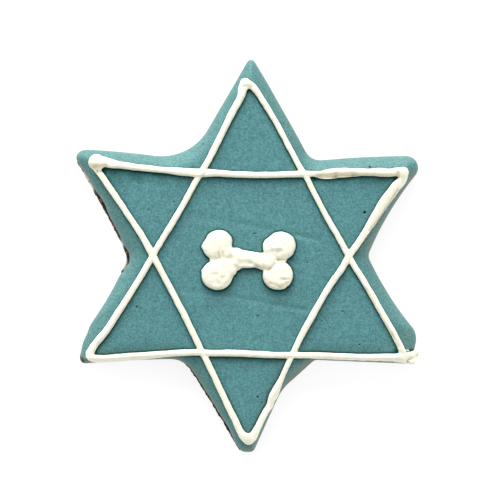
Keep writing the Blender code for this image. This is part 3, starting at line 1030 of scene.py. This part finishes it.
class COOKIE_OT_stage(bpy.types.Operator):
    """Adds the pale floor, the soft light and the camera that looks straight down"""

    bl_idname = "cookie.stage"
    bl_label = "Stage"

    def execute(self, context):
        deselect_all()
        bpy.ops.mesh.primitive_plane_add(size=6.0, location=(0.0, 0.0, -FLOOR_GAP * MM))
        floor = bpy.context.object
        floor.name = "floor"
        material, _, _, shader = new_material("floor")
        shader.inputs["Base Color"].default_value = FLOOR_GREY
        shader.inputs["Roughness"].default_value = 0.9
        shader.inputs["Emission Color"].default_value = WHITE
        shader.inputs["Emission Strength"].default_value = 0.82
        paint(floor, material)
        self.add_lights(context)
        self.add_camera(context)
        return {"FINISHED"}

    def add_lights(self, context):
        world = bpy.data.worlds.new("studio")
        world.use_nodes = True
        background = world.node_tree.nodes["Background"]
        background.inputs["Color"].default_value = WHITE
        background.inputs["Strength"].default_value = 0.5
        context.scene.world = world
        for name, spot, size, energy in LIGHTS:
            bpy.ops.object.light_add(type="AREA", location=spot)
            light = bpy.context.object
            light.name = name
            light.data.size = size
            light.data.energy = energy
            light.rotation_euler = (-light.location).to_track_quat("-Z", "Y").to_euler()
        context.scene.view_settings.view_transform = "Standard"

    def add_camera(self, context):
        bpy.ops.object.camera_add()
        camera = bpy.context.object
        camera.data.lens = LENS
        camera.data.sensor_width = SENSOR
        middle_x, middle_y = VIEW_MIDDLE
        height = COAT_TOP + VIEW_WIDTH * LENS / SENSOR
        camera.location = Vector((middle_x, middle_y, height)) * MM
        camera.rotation_euler = (0.0, 0.0, 0.0)
        camera.data.clip_start = 0.01
        camera.data.clip_end = 10.0
        context.scene.camera = camera


class COOKIE_OT_biscuit(bpy.types.Operator):
    """Bakes the star-shaped biscuit, with the foot that shows below the icing"""

    bl_idname = "cookie.biscuit"
    bl_label = "Biscuit"

    def execute(self, context):
        steps = plan_steps(spacing=0.45)
        foot = smooth_route(FOOT_PROFILE, 0.2)
        under_coat = offset_profile(COAT_PROFILE, COAT_THICKNESS + COAT_GAP)
        levels = [(inset, 0.0, foot_edge) for inset in UNDERSIDE_INSETS]
        levels += [(inset, height, foot_edge) for inset, height in foot]
        levels += [(inset, height, coat_edge) for inset, height in under_coat if height > FOOT_TOP]
        rings = []
        for inset, height, edge_rule in levels:
            ring = [Vector((p.x, p.y, height)) * MM for p in star_ring(inset, edge_rule, steps)]
            rings.append(ring)
        piece = loft_rings("biscuit_baked", rings)
        self.crumble(piece)
        paint(piece, baked_dough(context.scene.cookie_look))
        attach(piece, "root")
        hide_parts("biscuit")
        return {"FINISHED"}

    def crumble(self, piece):
        """Breaks the foot's edge unevenly, and notes where it is pale, and where it is scorched and
        painted in shade.
        """
        scorched_and_shaded, pale = note_layers(piece, "scorched_and_shaded", "pale")
        normals = [vert.normal.copy() for vert in piece.data.vertices]
        for vert, normal in zip(piece.data.vertices, normals):
            x, y, z = vert.co / MM
            if 0.01 < z < FOOT_TOP:
                height = 0.22 * ripple(x, y, z, 0.8, seed=1.3)
                height += 0.16 * ripple(x, y, z, 2.2, seed=5.2)
                vert.co = vert.co + normal * (height - 0.08) * MM
                vert.co.z = max(vert.co.z, 0.01 * MM)
                tucked = 1.0 - facing_lower_left(Vector((normal.x, normal.y)))
                vert.co.x -= clamped(bare_width(x, y), MOST_BARE) * tucked * MM
                # Scorch and painted shade under the icing's hem, up the foot's side.
                scorched_and_shaded[vert.index].value = min(1.0, z / 0.4)
            for spot_x, spot_y, radius in PALE_DOUGH:
                away = radii_away(x, y, spot_x, spot_y, radius)
                if away < 1.5:
                    shown = clamped(min((2.05 - z) / 0.35, z / 0.3))
                    pale[vert.index].value = clamped(2.0 * math.exp(-(away**2) * 1.5)) * shown


class COOKIE_OT_icing_coat(bpy.types.Operator):
    """Lays the teal icing over the biscuit, down to its wavy hem"""

    bl_idname = "cookie.icing_coat"
    bl_label = "Icing coat"

    def execute(self, context):
        sizes = context.scene.cookie_sizes
        steps = plan_steps(spacing=1.0)
        inner = offset_profile(COAT_PROFILE, COAT_THICKNESS)
        outer = smooth_route(COAT_PROFILE, 0.5)
        rings = [self.level(inset, height, steps, sizes) for inset, height in reversed(inner)]
        rings += [self.level(inset, height, steps, sizes) for inset, height in outer]
        piece = loft_rings("icing_coat_set", rings)
        even_skin(piece, voxel=sizes.fineness, smoothing=2)
        thin_hidden_faces(piece, bpy.data.objects["biscuit_baked"], reach=0.35, ratio=0.6)
        self.draw_back(piece)
        self.dent_pinholes(piece)
        self.ripple_face(piece)
        paint(piece, teal_icing(context.scene.cookie_look))
        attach(piece, "root")
        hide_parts("icing_coat")
        return {"FINISHED"}

    def level(self, inset, height, steps, sizes):
        """One ring of the icing's face; close to the hem it rises and falls."""
        ring = []
        low = max(0.0, 1.0 - (height - COAT_HEM) / 1.6)
        for point in star_ring(inset, coat_edge, steps):
            rise = low * sizes.hem_wave * ripple(point.x, point.y, 0.0, 4.5, seed=2.2)
            ring.append(Vector((point.x, point.y, height + rise)) * MM)
        return ring

    def draw_back(self, piece):
        """Lets the icing down over the foot, and draws it back where the biscuit is bare."""
        for vert in piece.data.vertices:
            x, y, z = vert.co / MM
            if z < SHOULDER_TOP:
                low = min(1.0, (SHOULDER_TOP - z) / 1.5)
                vert.co.x += bare_width(x, y) * low * MM

    def dent_pinholes(self, piece):
        """Cuts the mesh finer round each pinhole, pushes the hole in and notes the painted shade inside
        it.
        """
        shape = bmesh.new()
        shape.from_mesh(piece.data)
        for _ in range(2):
            near = set()
            for vert, _, _ in self.verts_by_pinholes(shape, 2.2):
                near.update(vert.link_edges)
            bmesh.ops.subdivide_edges(shape, edges=list(near), cuts=1, use_grid_fill=True)
        layer = shape.verts.layers.float.new("pinhole_shade")
        for vert, away, depth in self.verts_by_pinholes(shape, 1.6):
            hollow = math.exp(-(away**2) * 2.2)
            vert.co.z -= depth * hollow * MM
            # Painted shade inside the hole.
            vert[layer] = max(vert[layer], min(1.0, hollow * 1.3))
        shape.to_mesh(piece.data)
        shape.free()

    def verts_by_pinholes(self, shape, reach):
        """Each vertex of the face near a pinhole, how many radii away, and the hole's depth."""
        for vert in shape.verts:
            if vert.co.z > (COAT_TOP - 1.5) * MM:
                for x, y, radius, depth in PINHOLES:
                    away = radii_away(vert.co.x / MM, vert.co.y / MM, x, y, radius)
                    if away < reach:
                        yield vert, away, depth

    def ripple_face(self, piece):
        """Raises the ripples and the uneven lie of the icing's face; notes how thin it lies, the
        painted highlight on slopes facing the light, and the dough's brown, through thin icing and as
        painted shade.
        """
        thin, sheer_and_shade, lit_slope_highlight = note_layers(piece, "thin", "sheer_and_shade", "lit_slope_highlight")
        normals = [vert.normal.copy() for vert in piece.data.vertices]
        for vert, normal in zip(piece.data.vertices, normals):
            x, y, z = vert.co / MM
            thin[vert.index].value = clamped(COAT_TOP + 0.05 - z)
            # Painted highlight on slopes that face the light.
            lit_slope_highlight[vert.index].value = clamped(3.0 * (normal.y - 0.5 * abs(normal.x)))
            sheer_and_shade[vert.index].value = self.dough_and_shade_share(x, y, z, normal)
            rise = 0.06 * ripple(x, y, z, 14.0, seed=4.4)
            rise += 0.03 * ripple(x, y, z, 3.6, seed=6.6)
            rise += 0.012 * ripple(x, y, z, 1.0, seed=9.1)
            vert.co = vert.co + normal * rise * MM
            if normal.z > 0.5:
                vert.co.z += marked_rise(x, y, RIPPLES) * MM

    def dough_and_shade_share(self, x, y, z, normal):
        """How far the dough's brown shows: as painted shade on sides facing away from the light, and
        through thin icing down by the hem and at the spots.
        """
        # Painted shade on sides that face away from the light; the hem and the spots are dough through
        # thin icing.
        facing = max(0.0, Vector((normal.x, normal.y)).dot(SHADED_SIDE))
        shoulder = clamped((z - 2.0) / 3.5)
        bare = 0.95 * facing**3.5 * shoulder + 0.35 * clamped((5.6 - z) / 1.5)
        for spot_x, spot_y, radius in SHEER_SPOTS:
            away = radii_away(x, y, spot_x, spot_y, radius)
            bare = max(bare, clamped(2.0 * math.exp(-(away**3))) * shoulder)
        return min(1.0, bare)


class COOKIE_OT_piped_star(bpy.types.Operator):
    """Pipes the two interlocked triangles"""

    bl_idname = "cookie.piped_star"
    bl_label = "Piped star"

    def execute(self, context):
        tree = face_tree(bpy.data.objects["icing_coat_set"])
        wobble = context.scene.cookie_sizes.bead_wobble

        def bead_height(x, y, width):
            return face_height(tree, x, y) + 0.42 * width

        pieces = []
        ends = {}
        for name, route in STROKES.items():
            pieces.append(piped_bead(name, route, bead_height, wobble))
            for x, y, width in (route[0], route[-1]):
                ends[(x, y)] = width / 2.0
        del ends[PLAIN_END]
        for (x, y), radius in ends.items():
            centre = (x, y, bead_height(x, y, 2.0 * radius))
            pieces.append(icing_blob("stroke_end", centre, (radius * 1.03, radius * 1.03, radius)))
        for x, y, radius, rise in DROPS:
            centre = (x, y, COAT_TOP + rise)
            pieces.append(icing_blob("drop", centre, (radius, radius * 0.8, radius)))
        piece = melt_together("piped_star_set", pieces, voxel=0.2, smoothing=2)
        settle(piece, tree, highest=SETTLE_HEIGHT, share=0.35)
        roughen(piece, [(2.6, 0.05), (0.9, 0.03), (0.45, 0.018)], LINE_MARKS)
        # Painted shade on the piping's dim rims.
        shade_rims(piece)
        # Painted shadow of the piping on the icing.
        paint_piping_shadow(bpy.data.objects["icing_coat_set"], piece, PIPING_SHADOW_REACH)
        paint(piece, white_icing(context.scene.cookie_look))
        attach(piece, "root")
        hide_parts("piped_star")
        return {"FINISHED"}


class COOKIE_OT_piped_bone(bpy.types.Operator):
    """Pipes the bone: four blobs and the shaft between them"""

    bl_idname = "cookie.piped_bone"
    bl_label = "Piped bone"

    def execute(self, context):
        pieces = []
        for x, y, half_width, half_depth, height in BONE_BLOBS:
            rise = height * 0.2
            centre = (x, y, COAT_TOP + rise)
            half_sizes = (half_width, half_depth, height - rise)
            pieces.append(icing_blob("lobe", centre, half_sizes, fullness=3.2))
        middle = COAT_TOP + 0.6
        shaft = piped_bead("shaft", BONE_SHAFT, lambda x, y, width: middle, wobble=0.04)
        for vert in shaft.data.vertices:
            vert.co.z = middle * MM + (vert.co.z - middle * MM) * SHAFT_FLATNESS
        pieces.append(shaft)
        piece = melt_together("piped_bone_set", pieces, voxel=0.16, smoothing=9)
        roughen(piece, [(2.4, 0.1), (0.9, 0.06), (0.45, 0.03)], BONE_MARKS)
        # Painted shadow of the bone on the icing.
        paint_piping_shadow(bpy.data.objects["icing_coat_set"], piece, PIPING_SHADOW_REACH)
        paint(piece, bpy.data.objects["piped_star_set"].data.materials[0])
        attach(piece, "root")
        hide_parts("piped_bone")
        return {"FINISHED"}


class COOKIE_PT_panel(bpy.types.Panel):
    """Lists the cookie's sizes, colours and pieces"""

    bl_idname = "COOKIE_PT_panel"
    bl_label = "Iced dog cookie"
    bl_space_type = "VIEW_3D"
    bl_region_type = "UI"
    bl_category = "Cookie"

    def draw(self, context):
        for group in (context.scene.cookie_sizes, context.scene.cookie_look):
            for name in group.__annotations__:
                self.layout.prop(group, name)
        for operator in OPERATORS:
            self.layout.operator(operator.bl_idname)


OPERATORS = (
    COOKIE_OT_stage,
    COOKIE_OT_biscuit,
    COOKIE_OT_icing_coat,
    COOKIE_OT_piped_star,
    COOKIE_OT_piped_bone,
)
CLASSES = (CookieSizes, CookieLook, *OPERATORS, COOKIE_PT_panel)


def register():
    for cls in CLASSES:
        bpy.utils.register_class(cls)
    bpy.types.Scene.cookie_sizes = bpy.props.PointerProperty(type=CookieSizes)
    bpy.types.Scene.cookie_look = bpy.props.PointerProperty(type=CookieLook)


def unregister():
    del bpy.types.Scene.cookie_look
    del bpy.types.Scene.cookie_sizes
    for cls in reversed(CLASSES):
        bpy.utils.unregister_class(cls)


def main():
    register()
    bpy.ops.cookie.stage()
    bpy.ops.cookie.biscuit()
    bpy.ops.cookie.icing_coat()
    bpy.ops.cookie.piped_star()
    bpy.ops.cookie.piped_bone()


if __name__ == "__main__":
    main()
